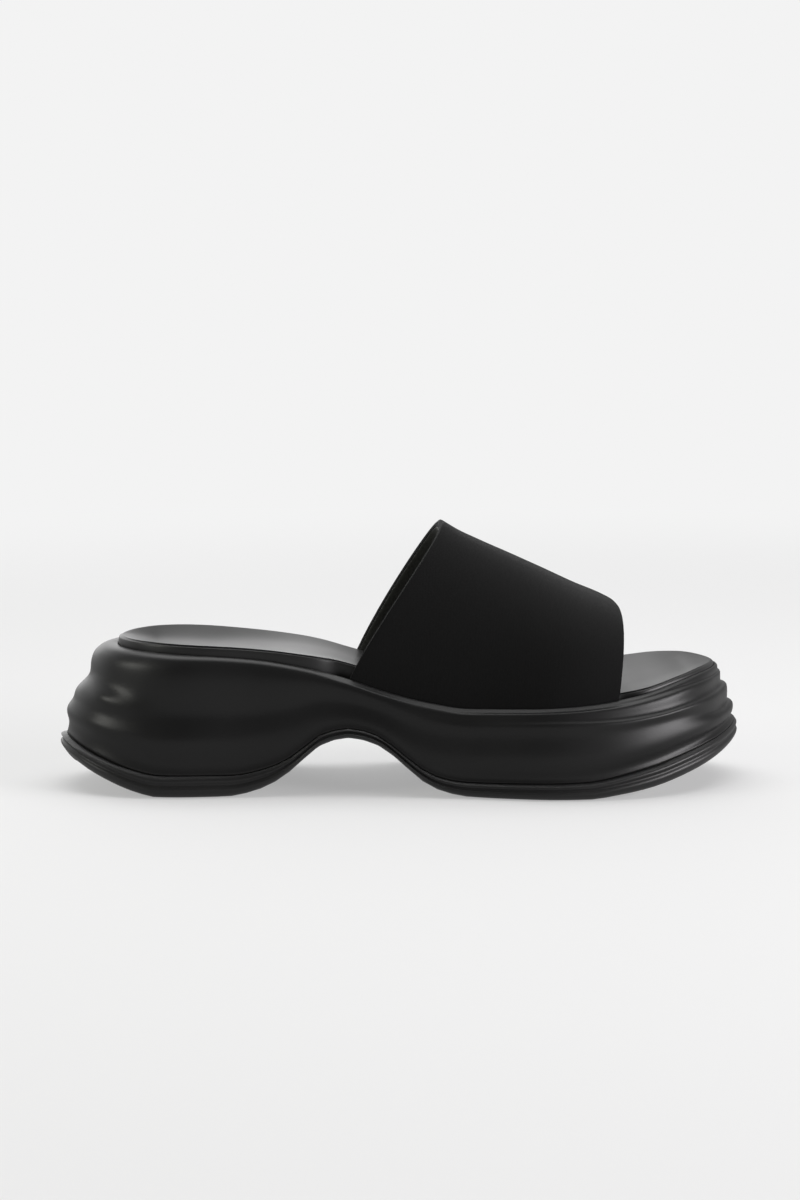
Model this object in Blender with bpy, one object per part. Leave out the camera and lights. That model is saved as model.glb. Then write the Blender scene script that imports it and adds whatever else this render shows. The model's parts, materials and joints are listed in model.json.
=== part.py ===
"""Right platform mule: a wide padded band on a moulded platform sole.

The shoe stands on its sole with the toe towards +X, the lateral side towards -Y
and the floor at Z = 0. The origin is under the middle of its box. Working units
are millimetres, and every mesh is scaled to metres when it is made.
"""

import math

import bmesh
import bpy
from mathutils import Vector

METRES = 0.001

# Clearance between pieces that touch
GAP = 0.3

# Plan of the sole at its lip, and the rim between the lip and the footbed
LENGTH = 276.0
BALL_WIDTH = 104.0
HEEL_WIDTH = 76.0
TIP_SHIFT = 8.0
RIM_BACK = 23.5
RIM_TIP = 9.5
RIM_SIDE = 7.0

# Height of the rim above the floor, and the rise of the underside
HEEL_HEIGHT = 56.6
BALL_HEIGHT = 34.4
TOE_HEIGHT = 45.5
ARCH_RISE = 23.0
TOE_SPRING = 16.5
HEEL_SPRING = 14.5

# Outsole
OUTSOLE_SIDE = 8.6
OUTSOLE_WAIST = 4.0
LIP_ROUND = 3.2
TREAD_DEPTH = 1.6
TREAD_WIDTH = 2.6
TREAD_PITCH = 9.0
TREAD_MARGIN = 9.0
HEEL_TREADS = 5
HEEL_TREAD_START = 34.0
BALL_TREADS = 7
BALL_TREAD_START = 174.0

# Footbed
RECESS = 2.0
INSOLE_RISE = 4.6
INSOLE_LEAN = 2.2
INSOLE_EDGE_RADIUS = 1.8
HEEL_CUP = 4.0

# Band: wall, depth of its feet below the rim, places of its edges from the back
WALL = 3.2
FOOT_DEPTH = 6.5
BACK_LATERAL = 115.0
BACK_MEDIAL = 118.6
BACK_TOP = 153.5
FRONT_LATERAL = 221.4
FRONT_MEDIAL = 217.0
FRONT_TOP = 225.4
INSTEP_HEIGHT = 104.4
VAMP_HEIGHT = 71.8
CREST_SHIFT = 5.0
BAND_SWELL = 1.6

# Plan of the lip, heel to toe. along: share of LENGTH. ball: how far the width is
# taken from BALL_WIDTH rather than HEEL_WIDTH. lateral, medial: share of that width.
# back, tip, side: share of RIM_BACK, RIM_TIP and RIM_SIDE between lip and footbed.
PLAN = [
    # name          along  ball  lateral medial back  tip   side
    ("heel back",   0.000, 0.0,  0.000,  0.000, 1.00, 0.00, 0.00),
    ("heel corner", 0.044, 0.0,  0.345,  0.345, 0.81, 0.00, 0.95),
    ("heel",        0.152, 0.0,  0.500,  0.500, 0.37, 0.00, 1.07),
    ("heel breast", 0.290, 0.0,  0.487,  0.470, 0.12, 0.00, 0.95),
    ("waist",       0.435, 0.0,  0.507,  0.455, 0.03, 0.00, 0.90),
    ("arch front",  0.580, 0.5,  0.505,  0.470, 0.00, 0.00, 0.92),
    ("ball",        0.720, 1.0,  0.512,  0.488, 0.00, 0.04, 0.95),
    ("toe side",    0.855, 1.0,  0.440,  0.468, 0.00, 0.35, 1.15),
    ("toe corner",  0.955, 1.0,  0.235,  0.322, 0.00, 0.80, 0.90),
    ("toe tip",     1.000, 1.0,  0.000,  0.000, 0.00, 1.00, 0.00),
]

# Rise of the underside. arch, toe, heel: share of ARCH_RISE, TOE_SPRING, HEEL_SPRING.
UNDERSIDE = [
    # along  arch  toe   heel
    (0.000,  0.00, 0.00, 1.00),
    (0.030,  0.00, 0.00, 0.74),
    (0.062,  0.00, 0.00, 0.47),
    (0.093,  0.00, 0.00, 0.23),
    (0.118,  0.00, 0.00, 0.08),
    (0.140,  0.00, 0.00, 0.00),
    (0.240,  0.00, 0.00, 0.00),
    (0.265,  0.04, 0.00, 0.00),
    (0.293,  0.14, 0.00, 0.00),
    (0.322,  0.33, 0.00, 0.00),
    (0.352,  0.64, 0.00, 0.00),
    (0.380,  0.90, 0.00, 0.00),
    (0.415,  1.00, 0.00, 0.00),
    (0.450,  0.91, 0.00, 0.00),
    (0.476,  0.72, 0.00, 0.00),
    (0.502,  0.45, 0.00, 0.00),
    (0.530,  0.19, 0.00, 0.00),
    (0.560,  0.06, 0.00, 0.00),
    (0.590,  0.01, 0.00, 0.00),
    (0.640,  0.00, 0.00, 0.00),
    (0.755,  0.00, 0.00, 0.00),
    (0.800,  0.00, 0.08, 0.00),
    (0.850,  0.00, 0.21, 0.00),
    (0.900,  0.00, 0.42, 0.00),
    (0.950,  0.00, 0.67, 0.00),
    (1.000,  0.00, 0.95, 0.00),
]

# Rim and side. heel, toe: share of the rise from BALL_HEIGHT to HEEL_HEIGHT and
# TOE_HEIGHT. side: how far the outsole's side is OUTSOLE_SIDE and not OUTSOLE_WAIST.
# rise: share of INSOLE_RISE. cup: share of HEEL_CUP. lean: share of INSOLE_LEAN, the
# drop of the insole from its medial to its lateral edge.
TOPSIDE = [
    # along  heel   toe    side  rise  cup   lean
    (0.000,  1.000, 0.000, 0.70, 0.70, 0.60, 0.00),
    (0.076,  1.000, 0.000, 0.90, 0.75, 0.80, 0.00),
    (0.138,  0.985, 0.000, 1.00, 0.80, 1.00, 0.00),
    (0.210,  0.950, 0.000, 1.00, 0.80, 1.00, 0.00),
    (0.283,  0.873, 0.000, 0.80, 0.85, 0.70, 0.00),
    (0.355,  0.718, 0.000, 0.20, 1.05, 0.40, 0.00),
    (0.413,  0.509, 0.000, 0.00, 1.30, 0.30, 0.00),
    (0.471,  0.270, 0.000, 0.00, 1.40, 0.30, 0.00),
    (0.529,  0.095, 0.000, 0.20, 1.25, 0.35, 0.00),
    (0.587,  0.000, 0.000, 0.40, 1.05, 0.40, 0.00),
    (0.660,  0.000, 0.030, 0.50, 0.95, 0.45, 0.20),
    (0.728,  0.000, 0.110, 0.58, 0.90, 0.45, 0.70),
    (0.790,  0.000, 0.270, 0.75, 0.86, 0.40, 1.00),
    (0.844,  0.000, 0.540, 0.95, 0.78, 0.35, 1.00),
    (0.899,  0.000, 0.860, 1.00, 0.62, 0.30, 0.90),
    (0.935,  0.000, 0.990, 0.95, 0.50, 0.25, 0.70),
    (0.969,  0.000, 1.020, 0.85, 0.32, 0.20, 0.50),
    (1.000,  0.000, 1.000, 0.75, 0.30, 0.20, 0.40),
]

# Side of the midsole from the outsole up to the footbed, at seven places round the
# plan. up: share of the height. inn: share of the way from the lip to the footbed.
WALL_ROWS = ("foot", "hollow", "wave low", "wave", "wave high", "slack", "valley",
             "shoulder", "groove", "bead", "inner groove", "inner bead", "rim")
WALL_PLACES = [
    # along, then (up, inn) for each row
    (0.000, ((0.00, 0.115), (0.08, 0.150), (0.17, 0.125), (0.27, 0.130), (0.37, 0.230),
             (0.48, 0.285), (0.60, 0.460), (0.70, 0.525), (0.80, 0.540), (0.90, 0.590),
             (0.96, 0.675), (1.00, 0.795), (1.00, 1.000))),
    (0.055, ((0.00, 0.130), (0.09, 0.180), (0.18, 0.150), (0.28, 0.135), (0.36, 0.205),
             (0.45, 0.238), (0.55, 0.250), (0.64, 0.410), (0.75, 0.470), (0.88, 0.510),
             (0.955, 0.615), (1.00, 0.760), (1.00, 1.000))),
    (0.180, ((0.00, 0.200), (0.07, 0.260), (0.15, 0.190), (0.25, 0.080), (0.33, 0.085),
             (0.43, 0.230), (0.53, 0.330), (0.66, 0.270), (0.79, 0.230), (0.89, 0.290),
             (0.95, 0.420), (0.99, 0.620), (1.00, 1.000))),
    (0.420, ((0.00, 0.150), (0.09, 0.200), (0.19, 0.210), (0.30, 0.260), (0.40, 0.330),
             (0.50, 0.380), (0.60, 0.390), (0.71, 0.350), (0.81, 0.330), (0.89, 0.370),
             (0.95, 0.470), (0.99, 0.660), (1.00, 1.000))),
    (0.690, ((0.00, 0.280), (0.07, 0.340), (0.17, 0.200), (0.28, 0.080), (0.40, 0.060),
             (0.54, 0.150), (0.68, 0.220), (0.81, 0.200), (0.87, 0.360), (0.955, 0.460),
             (0.975, 0.620), (1.00, 0.800), (1.00, 1.000))),
    (0.870, ((0.00, 0.220), (0.09, 0.300), (0.175, 0.190), (0.26, 0.065), (0.37, 0.050),
             (0.50, 0.120), (0.60, 0.160), (0.69, 0.110), (0.745, 0.300), (0.895, 0.385),
             (0.950, 0.600), (0.990, 0.710), (0.990, 1.000))),
    (0.985, ((0.00, 0.120), (0.06, 0.300), (0.12, 0.230), (0.19, 0.190), (0.27, 0.220),
             (0.31, 0.400), (0.36, 0.450), (0.60, 0.470), (0.64, 0.720), (0.83, 0.750),
             (0.86, 0.860), (0.95, 0.885), (0.98, 1.000))),
]

# Side of the outsole from the floor up. up: share of its height. inset: share of
# LIP_ROUND in from the lip.
OUTSOLE_ROWS = [
    # name        up    inset
    ("tread edge", 0.00, 1.00),
    ("lower turn", 0.14, 0.40),
    ("lip",        0.40, 0.00),
    ("lip groove", 0.60, 0.28),
    ("upper lip",  0.78, 0.06),
]

# Crest of the band from back to front. drop: share of the fall from INSTEP_HEIGHT
# to VAMP_HEIGHT.
CREST = [
    # across drop
    (0.00,   0.000),
    (0.06,   0.080),
    (0.20,   0.225),
    (0.40,   0.415),
    (0.60,   0.610),
    (0.80,   0.810),
    (0.92,   0.915),
    (1.00,   1.000),
]

# Points between two knots of the plan, and how much finer the band's seat is read
SAMPLES = 7
FINE = 8

# Steps of the band across and round, of its folded edge, and rows down its foot
BAND_STEPS = 12
ARCH_STEPS = 28
EDGE_STEPS = 4
FOOT_ROWS = (0.45, 1.0)

# Shape of the band's arch: side bulge, rise at the sides, lean of the back edge
ARCH_FULLNESS = 0.66
ARCH_LIFT = 0.90
BACK_LEAN = 1.15

# Top of the insole: points across, how soon its dish flattens at the narrow ends, how
# flat its middle is, and the turns of its rounded edge in degrees
BED_ACROSS = 6
DISH_REACH = 1.6
DISH_FLATNESS = 2.5
EDGE_TURNS = (15.0, 45.0, 75.0)

SMOOTH_ANGLE = 50.0


def blend(low, high, share):
    return low + (high - low) * share


def read(table, column, along):
    """Value of one table column at a place, on a curve that never overshoots."""
    places = [row[0] for row in table]
    values = [row[column] for row in table]
    along = min(max(along, places[0]), places[-1])
    spot = 0
    while spot < len(places) - 2 and along > places[spot + 1]:
        spot += 1
    steps = [b - a for a, b in zip(places, places[1:])]
    rates = [(b - a) / step for a, b, step in zip(values, values[1:], steps)]

    def slope(index):
        if index == 0 or index == len(rates):
            return rates[0] if index == 0 else rates[-1]
        before, after = rates[index - 1], rates[index]
        if before * after <= 0.0:
            return 0.0
        return 2.0 * before * after / (before + after)

    step = steps[spot]
    share = (along - places[spot]) / step
    start, end = slope(spot) * step, slope(spot + 1) * step
    low, high = values[spot], values[spot + 1]
    return ((2.0 * share - 3.0) * share * share * (low - high) + low
            + share * (1.0 - share) * ((1.0 - share) * start - share * end))


def along_of(x):
    return x / LENGTH + 0.5


def plan_knots():
    """Knots of lip and footbed, up the lateral side and down the medial side."""
    lateral, medial = [], []
    for row in PLAN:
        name, along, ball, lateral_share, medial_share, back, tip, side = row
        width = blend(HEEL_WIDTH, BALL_WIDTH, ball)
        lip_x = (along - 0.5) * LENGTH
        bed_x = lip_x + back * RIM_BACK - tip * RIM_TIP
        if name == "heel back":
            knot = (Vector((lip_x, 0.0)), Vector((bed_x, 0.0)))
            lateral.append(knot)
            continue
        if name == "toe tip":
            knot = (Vector((lip_x, TIP_SHIFT)), Vector((bed_x, TIP_SHIFT)))
            lateral.append(knot)
            continue
        rim = side * RIM_SIDE
        low, high = -lateral_share * width, medial_share * width
        lateral.append((Vector((lip_x, low)), Vector((bed_x, low + rim))))
        medial.append((Vector((lip_x, high)), Vector((bed_x, high - rim))))
    return lateral + medial[::-1]


def closed_curve(knots, samples):
    """Smooth closed curve through the knots, samples points for each knot."""
    count = len(knots)
    points = []
    for index in range(count):
        a, b, c, d = (knots[(index + shift - 1) % count] for shift in range(4))
        for step in range(samples):
            t = step / samples
            points.append(0.5 * (2.0 * b + (c - a) * t
                                 + (2.0 * a - 5.0 * b + 4.0 * c - d) * t * t
                                 + (3.0 * b - a - 3.0 * c + d) * t * t * t))
    return points


def moved_in(ring, inset):
    """The ring moved inwards by a distance, or by one distance for each point."""
    count = len(ring)
    points = []
    for index, point in enumerate(ring):
        along = (ring[(index + 1) % count] - ring[index - 1]).normalized()
        inward = Vector((-along.y, along.x))
        distance = inset[index] if isinstance(inset, list) else inset
        points.append(point + inward * distance)
    return points


def centred(knots):
    """Knots moved sideways until the plan of the lip is centred on Y = 0."""
    across = [point.y for point in closed_curve([knot[0] for knot in knots], SAMPLES)]
    shift = Vector((0.0, (min(across) + max(across)) / 2.0))
    return [(lip - shift, bed - shift) for lip, bed in knots]


KNOTS = centred(plan_knots())
LIP = closed_curve([knot[0] for knot in KNOTS], SAMPLES)
BED = closed_curve([knot[1] for knot in KNOTS], SAMPLES)
COUNT = len(LIP)
TOE = COUNT // 2


def underside(x):
    along = along_of(x)
    return (read(UNDERSIDE, 1, along) * ARCH_RISE + read(UNDERSIDE, 2, along) * TOE_SPRING
            + read(UNDERSIDE, 3, along) * HEEL_SPRING)


def side_height(x):
    return blend(OUTSOLE_WAIST, OUTSOLE_SIDE, read(TOPSIDE, 3, along_of(x)))


def parting(x):
    """Top of the outsole."""
    return underside(x) + side_height(x)


def rim(x):
    along = along_of(x)
    return (BALL_HEIGHT + read(TOPSIDE, 1, along) * (HEEL_HEIGHT - BALL_HEIGHT)
            + read(TOPSIDE, 2, along) * (TOE_HEIGHT - BALL_HEIGHT))


def platform(x):
    """Floor of the recess that the insole lies in."""
    return rim(x) - RECESS


def lifted(points, height, extra=0.0):
    return [Vector((point.x, point.y, height(point.x) + extra)) for point in points]


class Skin:
    """Vertices and faces of one closed solid, in millimetres."""

    def __init__(self):
        self.vertices = []
        self.faces = []

    def ring(self, points):
        start = len(self.vertices)
        self.vertices.extend(points)
        return list(range(start, start + len(points)))

    def join(self, low, high):
        """Band of faces between two closed rings."""
        count = len(low)
        for index in range(count):
            after = (index + 1) % count
            self.faces.append((low[index], low[after], high[after], high[index]))

    def close_across(self, ring, upwards):
        """Cap a plan ring with strips that run from side to side."""
        count = len(ring)
        for index in range(count // 2):
            a, b = ring[index], ring[index + 1]
            c, d = ring[(count - index - 1) % count], ring[(count - index) % count]
            face = [a, b, c, d]
            if index == 0:
                face = [a, b, c]
            if index == count // 2 - 1:
                face = [a, b, d]
            self.faces.append(tuple(face if upwards else face[::-1]))

    def make(self, name, material):
        mesh = bpy.data.meshes.new(name)
        mesh.from_pydata([Vector(v) * METRES for v in self.vertices], [], self.faces)
        shape = bmesh.new()
        shape.from_mesh(mesh)
        bmesh.ops.triangulate(shape, faces=shape.faces, quad_method="FIXED")
        shape.to_mesh(mesh)
        shape.free()
        mesh.shade_smooth()
        mesh.set_sharp_from_angle(angle=math.radians(SMOOTH_ANGLE))
        mesh.materials.append(material)
        solid = bpy.data.objects.new(name, mesh)
        bpy.context.scene.collection.objects.link(solid)
        return solid


def clear_scene():
    for item in list(bpy.data.objects):
        bpy.data.objects.remove(item, do_unlink=True)


def make_material(name, colour, roughness):
    material = bpy.data.materials.new(name)
    material.use_nodes = True
    shader = material.node_tree.nodes["Principled BSDF"]
    shader.inputs["Base Color"].default_value = (*colour, 1.0)
    shader.inputs["Roughness"].default_value = roughness
    shader.inputs["Metallic"].default_value = 0.0
    return material


def foot_ring():
    """Plan of the joint between outsole and midsole: the lowest row of the wall."""
    points = []
    for index in range(COUNT):
        inn = wall_row(index, 0)[1]
        points.append(LIP[index].lerp(BED[index], inn))
    return points


def wall_row(index, row):
    """Up and in shares of one row of the midsole's side at one place of the plan."""
    along = along_of(LIP[index].x)
    ups = [(place[0], place[1][row][0], place[1][row][1]) for place in WALL_PLACES]
    return read(ups, 1, along), read(ups, 2, along)


def make_outsole():
    skin = Skin()
    rings = []
    for name, up, inset in OUTSOLE_ROWS:
        ring = moved_in(LIP, inset * LIP_ROUND)
        points = [Vector((p.x, p.y, underside(p.x) + side_height(p.x) * up)) for p in ring]
        rings.append(skin.ring(points))
    rings.append(skin.ring(lifted(foot_ring(), parting)))
    for low, high in zip(rings, rings[1:]):
        skin.join(low, high)
    skin.close_across(rings[0], upwards=False)
    skin.close_across(rings[-1], upwards=True)
    outsole = skin.make("outsole", make_material("outsole rubber", (0.016, 0.016, 0.016), 0.5))
    cut_tread(outsole, HEEL_TREAD_START, HEEL_TREADS)
    cut_tread(outsole, BALL_TREAD_START, BALL_TREADS)
    return outsole


def side_line(ring, x, medial):
    """Y of a closed plan ring at x, on its lateral or its medial side."""
    toe = len(ring) // 2
    side = (ring[toe:] + ring[:1])[::-1] if medial else ring[:toe + 1]
    for before, after in zip(side, side[1:]):
        if before.x <= x <= after.x:
            return blend(before.y, after.y, (x - before.x) / (after.x - before.x))
    return side[0].y if x < side[0].x else side[-1].y


def cut_tread(outsole, start, count):
    """Cross grooves in the underside, short of its edges."""
    cutter_shape = bmesh.new()
    for index in range(count):
        x = start + index * TREAD_PITCH - LENGTH / 2.0
        low = side_line(LIP, x, medial=False) + TREAD_MARGIN
        high = side_line(LIP, x, medial=True) - TREAD_MARGIN
        top = underside(x) + TREAD_DEPTH
        made = bmesh.ops.create_cube(cutter_shape, size=1.0)
        size = Vector((TREAD_WIDTH, high - low, top + TREAD_DEPTH))
        centre = Vector((x, (low + high) / 2.0, (top - TREAD_DEPTH) / 2.0))
        for vertex in made["verts"]:
            vertex.co = Vector((vertex.co.x * size.x, vertex.co.y * size.y, vertex.co.z * size.z))
            vertex.co = (vertex.co + centre) * METRES
    mesh = bpy.data.meshes.new("tread cutter")
    cutter_shape.to_mesh(mesh)
    cutter_shape.free()
    cutter = bpy.data.objects.new("tread_cutter", mesh)
    bpy.context.scene.collection.objects.link(cutter)
    cutter.hide_render = True
    cutter.display_type = "WIRE"
    cut = outsole.modifiers.new("tread", "BOOLEAN")
    cut.operation = "DIFFERENCE"
    cut.solver = "EXACT"
    cut.object = cutter


def under_band(index):
    """Whether one place of the plan lies between the two edges of the band's foot."""
    x = BED[index % COUNT].x + LENGTH / 2.0
    medial = index % COUNT > TOE
    back = BACK_MEDIAL if medial else BACK_LATERAL
    front = FRONT_MEDIAL if medial else FRONT_LATERAL
    return back <= x <= front


def band_cover(index):
    """1 under the band's foot and one place past each of its ends, and 0 elsewhere."""
    return 1.0 if any(under_band(index + step) for step in (-1, 0, 1)) else 0.0


COVER = [band_cover(index) for index in range(COUNT)]
CHANNEL = WALL + 3.0 * GAP


def make_midsole():
    skin = Skin()
    rings = [skin.ring(lifted(foot_ring(), parting, GAP))]
    for row in range(1, len(WALL_ROWS)):
        points = []
        for index in range(COUNT):
            up, inn = wall_row(index, row)
            plan = LIP[index].lerp(BED[index], inn)
            low = parting(LIP[index].x) + GAP
            points.append(Vector((plan.x, plan.y, blend(low, rim(BED[index].x), up))))
        rings.append(skin.ring(points))
    depths = [blend(RECESS, FOOT_DEPTH + GAP, cover) for cover in COVER]
    floor = [Vector((p.x, p.y, rim(p.x) - depth)) for p, depth in zip(BED, depths)]
    rings.append(skin.ring(floor))
    inner = moved_in(BED, CHANNEL)
    floor = [Vector((p.x, p.y, rim(p.x) - depth)) for p, depth in zip(inner, depths)]
    rings.append(skin.ring(floor))
    rings.append(skin.ring(lifted(moved_in(BED, CHANNEL + GAP), platform)))
    for low, high in zip(rings, rings[1:]):
        skin.join(low, high)
    skin.close_across(rings[0], upwards=False)
    skin.close_across(rings[-1], upwards=True)
    return skin.make("midsole", make_material("midsole foam", (0.018, 0.018, 0.018), 0.45))


def eased_cover():
    """The band's cover with its two ends run out over the next places of the plan."""
    cover = COVER
    for _ in range(2):
        ahead = cover[1:] + cover[:1]
        behind = cover[-1:] + cover[:-1]
        cover = [max(here, (a + here + b) / 3.0) for here, a, b in zip(cover, ahead, behind)]
    return cover


def make_insole():
    """Footbed pad: a rounded edge round a top that is dished from side to side."""
    skin = Skin()
    insets = [blend(GAP, CHANNEL, cover) for cover in eased_cover()]

    def top(point):
        along = along_of(point.x)
        lean = INSOLE_LEAN * read(TOPSIDE, 6, along) * (0.5 - point.y / BALL_WIDTH)
        return rim(point.x) + INSOLE_RISE * read(TOPSIDE, 4, along) - lean

    def under_top(ring, drop):
        return [Vector((point.x, point.y, top(point) - drop)) for point in ring]

    radius = INSOLE_EDGE_RADIUS
    bevel = radius / 3.0
    foot = moved_in(BED, [inset + bevel for inset in insets])
    rows = [skin.ring(lifted(foot, platform, GAP))]
    rows.append(skin.ring(lifted(moved_in(BED, insets), platform, GAP + bevel)))
    for degrees in EDGE_TURNS:
        turn = math.radians(degrees)
        shift = radius * (1.0 - math.cos(turn))
        drop = radius * (1.0 - math.sin(turn))
        ring = moved_in(BED, [inset + shift for inset in insets])
        rows.append(skin.ring(under_top(ring, drop)))
    crest = moved_in(BED, [inset + radius for inset in insets])
    rows.append(skin.ring(under_top(crest, 0.0)))
    for low, high in zip(rows, rows[1:]):
        skin.join(low, high)
    skin.close_across(rows[0], upwards=False)
    edge = rows[-1]
    previous = [edge[0]] * (BED_ACROSS + 1)
    for index in range(1, TOE):
        left, right = edge[index], edge[COUNT - index]
        start, end = skin.vertices[left], skin.vertices[right]
        depth = HEEL_CUP * read(TOPSIDE, 5, along_of(start.x))
        depth *= min(1.0, (end - start).length / HEEL_WIDTH * DISH_REACH) ** 2
        line = [left]
        for step in range(1, BED_ACROSS):
            share = step / BED_ACROSS
            point = start.lerp(end, share)
            point.z -= depth * (1.0 - abs(2.0 * share - 1.0) ** DISH_FLATNESS)
            line.append(skin.ring([point])[0])
        line.append(right)
        stitch(skin, previous, line)
        previous = line
    stitch(skin, previous, [edge[TOE]] * (BED_ACROSS + 1))
    return skin.make("insole", make_material("insole cover", (0.035, 0.035, 0.035), 0.4))


def stitch(skin, before, after):
    """Faces between two rows of the top, where a row may be one point."""
    for step in range(len(before) - 1):
        corners = [before[step], after[step], after[step + 1], before[step + 1]]
        face = []
        for corner in corners:
            if corner not in face:
                face.append(corner)
        if len(face) > 2:
            skin.faces.append(tuple(face))


SEAT = moved_in(closed_curve([knot[1] for knot in KNOTS], SAMPLES * FINE), GAP)


def band_point(across, round_share):
    """Outside of the band. across: 0 at the back edge, 1 at the front edge.

    round_share runs from 0 at the lateral foot to 1 at the medial foot, and past
    these it goes straight down into the channel, 1 being the whole foot.
    """
    inset = WALL / 2.0
    medial = round_share > 0.5
    back = (BACK_MEDIAL if medial else BACK_LATERAL) + inset
    front = (FRONT_MEDIAL if medial else FRONT_LATERAL) - inset
    foot_x = blend(back, front, across) - LENGTH / 2.0
    foot_y = side_line(SEAT, foot_x, medial)
    foot_z = rim(foot_x)
    beyond = max(-round_share, round_share - 1.0, 0.0)
    if beyond > 0.0:
        return Vector((foot_x, foot_y, foot_z - beyond * (FOOT_DEPTH - GAP)))
    top_x = blend(BACK_TOP + inset, FRONT_TOP - inset, across) - LENGTH / 2.0
    top_z = blend(INSTEP_HEIGHT, VAMP_HEIGHT, read(CREST, 1, across))
    turn = round_share * math.pi
    out = abs(math.cos(turn)) ** ARCH_FULLNESS
    lift = math.sin(turn) ** ARCH_LIFT if math.sin(turn) > 0.0 else 0.0
    swell = BAND_SWELL * abs(math.sin(2.0 * turn)) * (1.0 if medial else -1.0)
    x = blend(foot_x, top_x, lift ** BACK_LEAN)
    y = blend(CREST_SHIFT, foot_y, out) + swell
    return Vector((x, y, blend(foot_z, top_z, lift)))


def band_frame(across, round_share):
    """Point, outward normal and direction to the front on the outside of the band."""
    small = 0.01
    here = band_point(across, round_share)
    low, high = max(across - small, 0.0), min(across + small, 1.0)
    forward = (band_point(high, round_share) - band_point(low, round_share)).normalized()
    around = band_point(across, round_share + small) - band_point(across, round_share - small)
    normal = forward.cross(around).normalized()
    return here, normal, forward


def make_upper():
    skin = Skin()
    arch = [step / ARCH_STEPS for step in range(ARCH_STEPS + 1)]
    rounds = [-row for row in reversed(FOOT_ROWS)] + arch + [1.0 + row for row in FOOT_ROWS]
    loops = []
    half = WALL / 2.0
    for round_share in rounds:
        frames = [band_frame(step / BAND_STEPS, round_share) for step in range(BAND_STEPS + 1)]
        loop = [point for point, normal, forward in frames]
        loop += edge_turn(frames[-1], half, 1.0)
        loop += [point - normal * WALL for point, normal, forward in reversed(frames)]
        loop += edge_turn(frames[0], half, -1.0)
        loops.append(skin.ring(loop))
    for low, high in zip(loops, loops[1:]):
        skin.join(low, high)
    cap_foot(skin, loops[0], False)
    cap_foot(skin, loops[-1], True)
    return skin.make("upper", make_material("band fabric", (0.010, 0.010, 0.010), 0.85))


def edge_turn(frame, half, towards):
    """Points of the folded edge, from the outside of the band round to its inside."""
    point, normal, forward = frame
    middle = point - normal * half
    points = []
    for step in range(1, EDGE_STEPS):
        turn = math.pi * step / EDGE_STEPS
        if towards < 0.0:
            turn = math.pi - turn
        points.append(middle + normal * half * math.cos(turn)
                      + forward * half * towards * math.sin(turn))
    return points


def cap_foot(skin, loop, last):
    """Close the end of one foot."""
    count = BAND_STEPS + 1
    outer = loop[:count]
    front = loop[count:count + EDGE_STEPS - 1]
    inner = loop[count + EDGE_STEPS - 1:2 * count + EDGE_STEPS - 1][::-1]
    back = loop[2 * count + EDGE_STEPS - 1:]
    faces = [(a, d, c, b) for a, b, c, d in zip(outer, outer[1:], inner[1:], inner)]
    faces.append(tuple([inner[-1]] + front[::-1] + [outer[-1]]))
    faces.append(tuple([outer[0]] + back[::-1] + [inner[0]]))
    for face in faces:
        skin.faces.append(face[::-1] if last else face)


clear_scene()
make_outsole()
make_midsole()
make_insole()
make_upper()
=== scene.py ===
import json
import math

import bpy
import numpy as np
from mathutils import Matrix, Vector, kdtree

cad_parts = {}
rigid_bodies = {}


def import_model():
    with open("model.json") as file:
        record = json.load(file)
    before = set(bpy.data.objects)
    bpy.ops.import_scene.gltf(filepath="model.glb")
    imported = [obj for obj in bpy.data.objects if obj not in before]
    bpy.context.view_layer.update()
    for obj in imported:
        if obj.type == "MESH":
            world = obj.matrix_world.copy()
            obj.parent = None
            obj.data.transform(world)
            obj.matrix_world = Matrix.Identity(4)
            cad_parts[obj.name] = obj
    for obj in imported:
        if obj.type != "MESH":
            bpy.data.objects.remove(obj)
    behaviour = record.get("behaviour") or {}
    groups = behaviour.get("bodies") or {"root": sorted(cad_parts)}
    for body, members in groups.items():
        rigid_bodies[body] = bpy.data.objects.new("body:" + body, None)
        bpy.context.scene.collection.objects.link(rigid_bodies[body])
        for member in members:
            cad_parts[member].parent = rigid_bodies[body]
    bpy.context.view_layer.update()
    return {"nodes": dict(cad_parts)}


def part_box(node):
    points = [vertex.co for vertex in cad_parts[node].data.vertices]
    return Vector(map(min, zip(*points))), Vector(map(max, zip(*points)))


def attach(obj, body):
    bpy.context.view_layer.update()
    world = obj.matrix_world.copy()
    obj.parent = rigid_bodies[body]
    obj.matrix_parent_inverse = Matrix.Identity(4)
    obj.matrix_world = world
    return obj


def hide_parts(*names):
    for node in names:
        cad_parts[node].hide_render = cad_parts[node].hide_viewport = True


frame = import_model()


# Outsole. The real piece is a shallow tray of moulded black rubber with a rounded lip
# and cross grooves underneath, bonded to the foot of the platform.

MM = 0.001
WELD = 0.01 * MM
FLAT_PAIR = math.radians(60.0)
GRID_PULL = 1.5
UPRIGHT = 0.35
SIDE_DEPTH = 4.2 * MM
LEVEL = 0.9
FIT_ROUNDS = 4
TREAD_CORNER = math.radians(40.0)
RUBBER_BLACK = (0.011, 0.011, 0.011)
RUBBER_GRAIN = 0.7 * MM
RUBBER_RELIEF = 0.05 * MM
GLOSS_DRIFT = 0.06
TONE_DRIFT = 0.15


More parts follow.
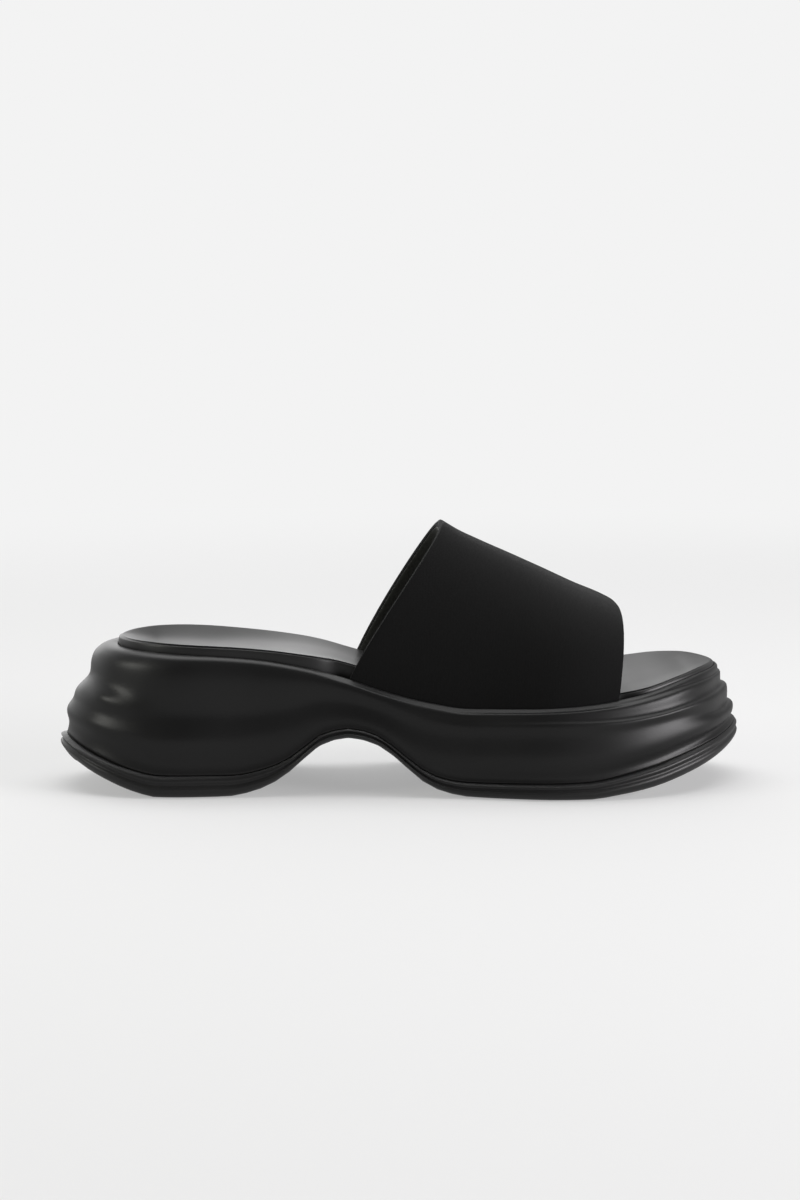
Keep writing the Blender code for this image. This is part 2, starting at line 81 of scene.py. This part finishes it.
def take_copy(node, name):
    """Copy a solid, with its loose triangles merged into one skin of four-sided faces."""
    bpy.ops.object.select_all(action="DESELECT")
    piece = bpy.data.objects.new(name, frame["nodes"][node].data.copy())
    bpy.context.scene.collection.objects.link(piece)
    piece.select_set(True)
    bpy.context.view_layer.objects.active = piece
    piece.data.materials.clear()
    bpy.ops.object.mode_set(mode="EDIT")
    bpy.ops.mesh.select_all(action="SELECT")
    bpy.ops.mesh.remove_doubles(threshold=WELD)
    bpy.ops.mesh.tris_convert_to_quads(face_threshold=FLAT_PAIR, shape_threshold=FLAT_PAIR,
                                       topology_influence=GRID_PULL)
    bpy.ops.mesh.select_all(action="DESELECT")
    bpy.ops.object.mode_set(mode="OBJECT")
    bpy.ops.mesh.customdata_custom_splitnormals_clear()
    return piece


def corners(mesh):
    """The mesh's corner places as rows of x, y and z."""
    places = np.empty(len(mesh.vertices) * 3, np.float32)
    mesh.vertices.foreach_get("co", places)
    return places.reshape(-1, 3)


def deep_inside(mesh):
    """Faces of the underside, its grooves and the hidden top: all but the outsole's side."""
    lip = [v.co for v in mesh.vertices if abs(v.normal.z) < UPRIGHT]
    near = kdtree.KDTree(len(lip))
    for index, place in enumerate(lip):
        near.insert((place.x, place.y, 0.0), index)
    near.balance()
    return [face.normal.z > LEVEL
            or near.find((face.center.x, face.center.y, 0.0))[2] > SIDE_DEPTH
            for face in mesh.polygons]


def hold(piece, held):
    """Crease the edges of the held faces, so that refining leaves them as they are."""
    piece.data.polygons.foreach_set("select", held)
    bpy.ops.object.mode_set(mode="EDIT")
    bpy.ops.mesh.select_mode(type="FACE")
    bpy.ops.transform.edge_crease(value=1.0)
    bpy.ops.mesh.select_all(action="DESELECT")
    bpy.ops.object.mode_set(mode="OBJECT")


def refine(piece, levels):
    """Subdivide a piece so that its fine skin still passes through its own corners."""
    mesh = piece.data
    goal = corners(mesh)
    finer = piece.modifiers.new("finer", "SUBSURF")
    finer.levels = finer.render_levels = 1
    for _ in range(FIT_ROUNDS):
        seen = piece.evaluated_get(bpy.context.evaluated_depsgraph_get()).data
        place = corners(mesh) + goal - corners(seen)[:len(goal)]
        mesh.vertices.foreach_set("co", place.ravel())
        mesh.update()
    finer.levels = finer.render_levels = levels
    bpy.ops.object.modifier_apply(modifier="finer")


def start_material(name):
    """A new material with its nodes and links, ready to be filled in."""
    material = bpy.data.materials.new(name)
    material.use_nodes = True
    return material, material.node_tree.nodes, material.node_tree.links


def grained_rubber(name, colour, roughness, shine, grain, depth):
    """Moulded black rubber: a fine pebbled skin whose gloss drifts a little."""
    material, nodes, links = start_material(name)
    shader = nodes["Principled BSDF"]
    shader.inputs["Specular IOR Level"].default_value = shine
    place = nodes.new("ShaderNodeTexCoord")
    drift = nodes.new("ShaderNodeTexNoise")
    drift.inputs["Scale"].default_value = 22.0
    drift.inputs["Detail"].default_value = 4.0
    links.new(place.outputs["Object"], drift.inputs["Vector"])
    gloss = nodes.new("ShaderNodeMapRange")
    gloss.inputs["To Min"].default_value = roughness - GLOSS_DRIFT
    gloss.inputs["To Max"].default_value = roughness + GLOSS_DRIFT
    links.new(drift.outputs["Fac"], gloss.inputs["Value"])
    links.new(gloss.outputs["Result"], shader.inputs["Roughness"])
    tone = nodes.new("ShaderNodeValToRGB")
    tone.color_ramp.elements[0].position = 0.35
    tone.color_ramp.elements[0].color = (*[c * (1.0 - TONE_DRIFT) for c in colour], 1.0)
    tone.color_ramp.elements[1].position = 0.70
    tone.color_ramp.elements[1].color = (*[c * (1.0 + TONE_DRIFT) for c in colour], 1.0)
    links.new(drift.outputs["Fac"], tone.inputs["Fac"])
    links.new(tone.outputs["Color"], shader.inputs["Base Color"])
    pebbles = nodes.new("ShaderNodeTexVoronoi")
    pebbles.inputs["Scale"].default_value = 1.0 / grain
    links.new(place.outputs["Object"], pebbles.inputs["Vector"])
    relief = nodes.new("ShaderNodeBump")
    relief.inputs["Strength"].default_value = 0.25
    relief.inputs["Distance"].default_value = depth
    links.new(pebbles.outputs["Distance"], relief.inputs["Height"])
    links.new(relief.outputs["Normal"], shader.inputs["Normal"])
    return material


outsole = take_copy("outsole", "outsole_rubber")
hold(outsole, deep_inside(outsole.data))
refine(outsole, 2)
bpy.ops.object.shade_smooth_by_angle(angle=TREAD_CORNER)
outsole.data.materials.append(grained_rubber("outsole rubber", RUBBER_BLACK, roughness=0.42,
                                             shine=0.5, grain=RUBBER_GRAIN,
                                             depth=RUBBER_RELIEF))
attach(outsole, "root")
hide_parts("outsole")


# Midsole. The real piece is a thick light foam platform with a satin skin, moulded in
# soft waves round the heel and in stacked ribs round the toe.

LONG_EDGE = 15.0 * MM
FOAM_BLACK = (0.007, 0.007, 0.007)
FOAM_GRAIN = 0.9 * MM
FOAM_RELIEF = 0.04 * MM


def hidden_strips(mesh):
    """The underside of a piece, and all strips that run from side to side of it."""
    spots = [v.co for v in mesh.vertices]
    return [face.normal.z < -LEVEL
            or max((spots[a] - spots[b]).length for a, b in face.edge_keys) > LONG_EDGE
            for face in mesh.polygons]


midsole = take_copy("midsole", "platform_foam")
hold(midsole, hidden_strips(midsole.data))
refine(midsole, 2)
bpy.ops.object.shade_smooth()
midsole.data.materials.append(grained_rubber("platform foam", FOAM_BLACK, roughness=0.40,
                                             shine=0.38, grain=FOAM_GRAIN,
                                             depth=FOAM_RELIEF))
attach(midsole, "root")
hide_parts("midsole")


# Insole. The real piece is a thin foam footbed wrapped in smooth black imitation
# leather, rounded at its edge and glued into the recess of the platform.

COVER_BLACK = (0.012, 0.012, 0.012)
COVER_CELL = 1.1 * MM
COVER_RELIEF = 0.06 * MM
COVER_DRIFT = 0.05


def smooth_leather(name, colour, roughness):
    """Imitation leather: shallow cells of grain over a soft, slightly uneven gloss."""
    material, nodes, links = start_material(name)
    shader = nodes["Principled BSDF"]
    shader.inputs["Base Color"].default_value = (*colour, 1.0)
    shader.inputs["Specular IOR Level"].default_value = 0.5
    place = nodes.new("ShaderNodeTexCoord")
    drift = nodes.new("ShaderNodeTexNoise")
    drift.inputs["Scale"].default_value = 30.0
    links.new(place.outputs["Object"], drift.inputs["Vector"])
    gloss = nodes.new("ShaderNodeMapRange")
    gloss.inputs["To Min"].default_value = roughness - COVER_DRIFT
    gloss.inputs["To Max"].default_value = roughness + COVER_DRIFT
    links.new(drift.outputs["Fac"], gloss.inputs["Value"])
    links.new(gloss.outputs["Result"], shader.inputs["Roughness"])
    cells = nodes.new("ShaderNodeTexVoronoi")
    cells.feature = "DISTANCE_TO_EDGE"
    cells.inputs["Scale"].default_value = 1.0 / COVER_CELL
    links.new(place.outputs["Object"], cells.inputs["Vector"])
    relief = nodes.new("ShaderNodeBump")
    relief.inputs["Strength"].default_value = 0.3
    relief.inputs["Distance"].default_value = COVER_RELIEF
    links.new(cells.outputs["Distance"], relief.inputs["Height"])
    links.new(relief.outputs["Normal"], shader.inputs["Normal"])
    return material


insole = take_copy("insole", "footbed_pad")
hold(insole, hidden_strips(insole.data))
refine(insole, 2)
bpy.ops.object.shade_smooth()
insole.data.materials.append(smooth_leather("footbed cover", COVER_BLACK, roughness=0.42))
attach(insole, "root")
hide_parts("insole")


# Upper. The real piece is one wide band of black stretch knit bonded round thin foam,
# folded over at both edges and pulled down between the platform and the footbed.

KNIT_BLACK = (0.007, 0.007, 0.007)
KNIT_PITCH = 0.6 * MM
COURSE_SHARE = 0.7
KNIT_RELIEF = 0.1 * MM
WAVE_UNIT = 20.0
CROWN_SHARE = 0.7
CHART_STEPS = 64


def knitted_cloth(name, colour, pitch):
    """Matte stretch knit: fine wales and courses that follow the cloth."""
    material, nodes, links = start_material(name)
    shader = nodes["Principled BSDF"]
    shader.inputs["Base Color"].default_value = (*colour, 1.0)
    shader.inputs["Roughness"].default_value = 0.85
    shader.inputs["Specular IOR Level"].default_value = 0.12
    shader.inputs["Sheen Weight"].default_value = 0.06
    shader.inputs["Sheen Roughness"].default_value = 0.4
    place = nodes.new("ShaderNodeUVMap")
    place.uv_map = "weave"
    wales = nodes.new("ShaderNodeTexWave")
    wales.wave_type = "BANDS"
    wales.bands_direction = "X"
    wales.inputs["Scale"].default_value = 2.0 * math.pi / (WAVE_UNIT * pitch)
    courses = nodes.new("ShaderNodeTexWave")
    courses.wave_type = "BANDS"
    courses.bands_direction = "Y"
    courses.inputs["Scale"].default_value = 2.0 * math.pi / (WAVE_UNIT * pitch * COURSE_SHARE)
    weave = nodes.new("ShaderNodeMath")
    weave.operation = "MULTIPLY"
    for wave, port in ((wales, 0), (courses, 1)):
        links.new(place.outputs["UV"], wave.inputs["Vector"])
        links.new(wave.outputs["Fac"], weave.inputs[port])
    relief = nodes.new("ShaderNodeBump")
    relief.inputs["Strength"].default_value = 0.5
    relief.inputs["Distance"].default_value = KNIT_RELIEF
    links.new(weave.outputs["Value"], relief.inputs["Height"])
    links.new(relief.outputs["Normal"], shader.inputs["Normal"])
    return material


def lay_weave(piece):
    """Chart the band flat: along the shoe one way, round the instep the other."""
    low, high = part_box("upper")
    middle = (low + high) / 2.0
    half, rise = (high.y - low.y) / 2.0, (high.z - low.z) * CROWN_SHARE
    turns = [math.pi * 2.0 * step / CHART_STEPS for step in range(CHART_STEPS + 1)]
    ring = [Vector((half * math.cos(turn), rise * math.sin(turn))) for turn in turns]
    walked = [0.0]
    for before, after in zip(ring, ring[1:]):
        walked.append(walked[-1] + (after - before).length)
    chart = piece.data.uv_layers.new(name="weave")
    for loop in piece.data.loops:
        spot = piece.data.vertices[loop.vertex_index].co
        turn = math.atan2((spot.z - low.z) / rise, (spot.y - middle.y) / half)
        turn %= 2.0 * math.pi
        chart.data[loop.index].uv = (spot.x, float(np.interp(turn, turns, walked)))


upper = take_copy("upper", "band_fabric")
refine(upper, 3)
bpy.ops.object.shade_smooth()
lay_weave(upper)
upper.data.materials.append(knitted_cloth("band knit", KNIT_BLACK, KNIT_PITCH))
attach(upper, "root")
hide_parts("upper")


# Lining. The real piece is a thin brushed jersey of a dark olive black, glued to the
# inside of the band as far as the folded edges.

LINING_DROP = 0.25 * MM
LINING_THICK = 0.35 * MM
LINING_HEART = 50.0 * MM
LINING_FOOT = 34.0 * MM
FACING_IN = 0.5
JERSEY_OLIVE = (0.035, 0.036, 0.031)
NAP_SCALE = 900.0
NAP_SPECKLE = 0.3
NAP_RELIEF = 0.1 * MM


def brushed_jersey(name, colour):
    """Short soft nap: speckled tone, a little sheen and no gloss."""
    material, nodes, links = start_material(name)
    shader = nodes["Principled BSDF"]
    shader.inputs["Roughness"].default_value = 0.95
    shader.inputs["Specular IOR Level"].default_value = 0.15
    shader.inputs["Sheen Weight"].default_value = 0.35
    shader.inputs["Sheen Roughness"].default_value = 0.5
    place = nodes.new("ShaderNodeTexCoord")
    nap = nodes.new("ShaderNodeTexNoise")
    nap.inputs["Scale"].default_value = NAP_SCALE
    nap.inputs["Detail"].default_value = 3.0
    links.new(place.outputs["Object"], nap.inputs["Vector"])
    tone = nodes.new("ShaderNodeValToRGB")
    tone.color_ramp.elements[0].position = 0.3
    tone.color_ramp.elements[0].color = (*[c * (1.0 - NAP_SPECKLE) for c in colour], 1.0)
    tone.color_ramp.elements[1].position = 0.7
    tone.color_ramp.elements[1].color = (*[c * (1.0 + NAP_SPECKLE) for c in colour], 1.0)
    links.new(nap.outputs["Fac"], tone.inputs["Fac"])
    links.new(tone.outputs["Color"], shader.inputs["Base Color"])
    relief = nodes.new("ShaderNodeBump")
    relief.inputs["Strength"].default_value = 0.4
    relief.inputs["Distance"].default_value = NAP_RELIEF
    links.new(nap.outputs["Fac"], relief.inputs["Height"])
    links.new(relief.outputs["Normal"], shader.inputs["Normal"])
    return material


def keep_inside(piece):
    """Keep the faces that look at the foot, above the seat, and open the rest."""
    low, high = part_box("upper")
    middle = (low.y + high.y) / 2.0
    for face in piece.data.polygons:
        spot = face.center
        out = Vector((0.0, spot.y - middle, spot.z - LINING_HEART)).normalized()
        face.select = face.normal.dot(out) > -FACING_IN or spot.z < LINING_FOOT
    bpy.ops.object.mode_set(mode="EDIT")
    bpy.ops.mesh.select_mode(type="FACE")
    # One more ring of faces goes with them, which leaves an even rim inside the folds.
    bpy.ops.mesh.select_more()
    bpy.ops.mesh.delete(type="FACE")
    bpy.ops.object.mode_set(mode="OBJECT")


lining = take_copy("upper", "band_lining")
refine(lining, 2)
keep_inside(lining)
layer = lining.modifiers.new("thickness", "SOLIDIFY")
layer.thickness = LINING_THICK
layer.offset = 1.0
for vertex in lining.data.vertices:
    vertex.co += vertex.normal * LINING_DROP
bpy.ops.object.modifier_apply(modifier="thickness")
bpy.ops.object.shade_smooth()
lining.data.materials.append(brushed_jersey("lining jersey", JERSEY_OLIVE))
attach(lining, "root")


# Floor and light. A plain pale floor runs out into a plain pale surround, and soft
# boxes above and at both ends light the shoe.

PALE = 0.896
PAPER_SEEN = 0.77
PAPER_FELT = 0.42
GLOW_FELT = 0.55
LIT_NEAR = 0.45
LIT_FAR = 1.1
SHADOW_LIFT = 0.4
FLOOR_REACH = 6.0
FLOOR_DROP = 0.2 * MM


def pale_floor():
    """Matte floor that turns into the surround's own tone away from the shoe."""
    material, nodes, links = start_material("floor paper")
    nodes.remove(nodes["Principled BSDF"])
    place = nodes.new("ShaderNodeTexCoord")
    away = nodes.new("ShaderNodeVectorMath")
    away.operation = "LENGTH"
    links.new(place.outputs["Object"], away.inputs[0])
    fade = nodes.new("ShaderNodeMapRange")
    fade.interpolation_type = "SMOOTHSTEP"
    fade.inputs["From Min"].default_value = LIT_NEAR
    fade.inputs["From Max"].default_value = LIT_FAR
    fade.inputs["To Min"].default_value = SHADOW_LIFT
    links.new(away.outputs["Value"], fade.inputs["Value"])
    seen = nodes.new("ShaderNodeLightPath")
    paper = nodes.new("ShaderNodeBsdfDiffuse")
    glow = nodes.new("ShaderNodeEmission")
    for shader, lit, dim in ((paper, PAPER_SEEN, PAPER_FELT), (glow, PALE, GLOW_FELT)):
        pick = nodes.new("ShaderNodeMix")
        pick.data_type = "RGBA"
        links.new(seen.outputs["Is Camera Ray"], pick.inputs["Factor"])
        pick.inputs["A"].default_value = (dim, dim, dim, 1.0)
        pick.inputs["B"].default_value = (lit, lit, lit, 1.0)
        links.new(pick.outputs["Result"], shader.inputs["Color"])
    mix = nodes.new("ShaderNodeMixShader")
    links.new(fade.outputs["Result"], mix.inputs["Fac"])
    links.new(paper.outputs["BSDF"], mix.inputs[1])
    links.new(glow.outputs["Emission"], mix.inputs[2])
    links.new(mix.outputs["Shader"], nodes["Material Output"].inputs["Surface"])
    return material


bpy.ops.object.select_all(action="DESELECT")
bpy.ops.mesh.primitive_circle_add(vertices=96, radius=FLOOR_REACH, fill_type="NGON",
                                  location=(0.0, 0.0, -FLOOR_DROP))
floor = bpy.context.active_object
floor.name = "floor"
floor.data.materials.append(pale_floor())


def surround():
    """Pale to the eye; for the shoe, bright behind its heel and dim in front of it."""
    world = bpy.data.worlds.new("studio")
    bpy.context.scene.world = world
    world.use_nodes = True
    nodes, links = world.node_tree.nodes, world.node_tree.links
    place = nodes.new("ShaderNodeTexCoord")
    split = nodes.new("ShaderNodeSeparateXYZ")
    links.new(place.outputs["Generated"], split.inputs["Vector"])
    depth = nodes.new("ShaderNodeMapRange")
    depth.interpolation_type = "SMOOTHSTEP"
    depth.inputs["From Min"].default_value = -0.1
    depth.inputs["From Max"].default_value = 0.95
    depth.inputs["To Min"].default_value = 0.06
    depth.inputs["To Max"].default_value = 0.95
    links.new(split.outputs["Y"], depth.inputs["Value"])
    side = nodes.new("ShaderNodeMapRange")
    side.inputs["From Min"].default_value = -0.3
    side.inputs["From Max"].default_value = 0.4
    side.inputs["To Min"].default_value = 1.3
    side.inputs["To Max"].default_value = 0.45
    links.new(split.outputs["X"], side.inputs["Value"])
    tone = nodes.new("ShaderNodeMath")
    tone.operation = "MULTIPLY"
    links.new(depth.outputs["Result"], tone.inputs[0])
    links.new(side.outputs["Result"], tone.inputs[1])
    seen = nodes.new("ShaderNodeLightPath")
    pick = nodes.new("ShaderNodeMix")
    links.new(seen.outputs["Is Camera Ray"], pick.inputs["Factor"])
    links.new(tone.outputs["Value"], pick.inputs["A"])
    pick.inputs["B"].default_value = PALE
    links.new(pick.outputs["Result"], nodes["Background"].inputs["Color"])


surround()


def soft_box(name, spot, aim, width, height, power, colour=(1.0, 1.0, 1.0)):
    """A rectangular lamp at one spot that looks at another."""
    light = bpy.data.lights.new(name, "AREA")
    light.shape = "RECTANGLE"
    light.size = width
    light.size_y = height
    light.energy = power
    light.color = colour
    box = bpy.data.objects.new(name, light)
    bpy.context.scene.collection.objects.link(box)
    box.location = spot
    box.rotation_euler = (Vector(aim) - Vector(spot)).to_track_quat("-Z", "Y").to_euler()


soft_box("top box", spot=(0.05, 0.25, 1.5), aim=(0.0, 0.0, 0.05),
         width=1.8, height=1.2, power=18.0)
soft_box("heel box", spot=(-1.1, -0.40, 0.50), aim=(-0.10, 0.0, 0.05),
         width=0.5, height=0.45, power=4.0, colour=(1.0, 1.0, 0.94))
soft_box("toe box", spot=(1.2, -0.55, 0.36), aim=(0.1, 0.0, 0.04),
         width=0.9, height=0.5, power=16.0, colour=(1.0, 0.98, 1.0))
soft_box("back box", spot=(-0.30, 1.3, 0.35), aim=(-0.10, 0.0, 0.05),
         width=0.9, height=0.5, power=2.2)


# Camera. It stands on the outer side of the shoe, turned a little to the heel and
# raised a little above the floor.

TURN = math.radians(3.5)
RAISE = math.radians(7.5)
REACH = 1.21
AIM = Vector((-0.001, 0.0, 0.0731))
FOCAL = 90.0
FILM = 36.0

lens = bpy.data.cameras.new("camera")
lens.lens = FOCAL
lens.sensor_width = FILM
camera = bpy.data.objects.new("camera", lens)
bpy.context.scene.collection.objects.link(camera)
back = Vector((-math.sin(TURN) * math.cos(RAISE), -math.cos(TURN) * math.cos(RAISE),
               math.sin(RAISE)))
camera.location = AIM + back * REACH
camera.rotation_euler = (-back).to_track_quat("-Z", "Y").to_euler()
bpy.context.scene.camera = camera
bpy.context.scene.view_settings.view_transform = "Standard"
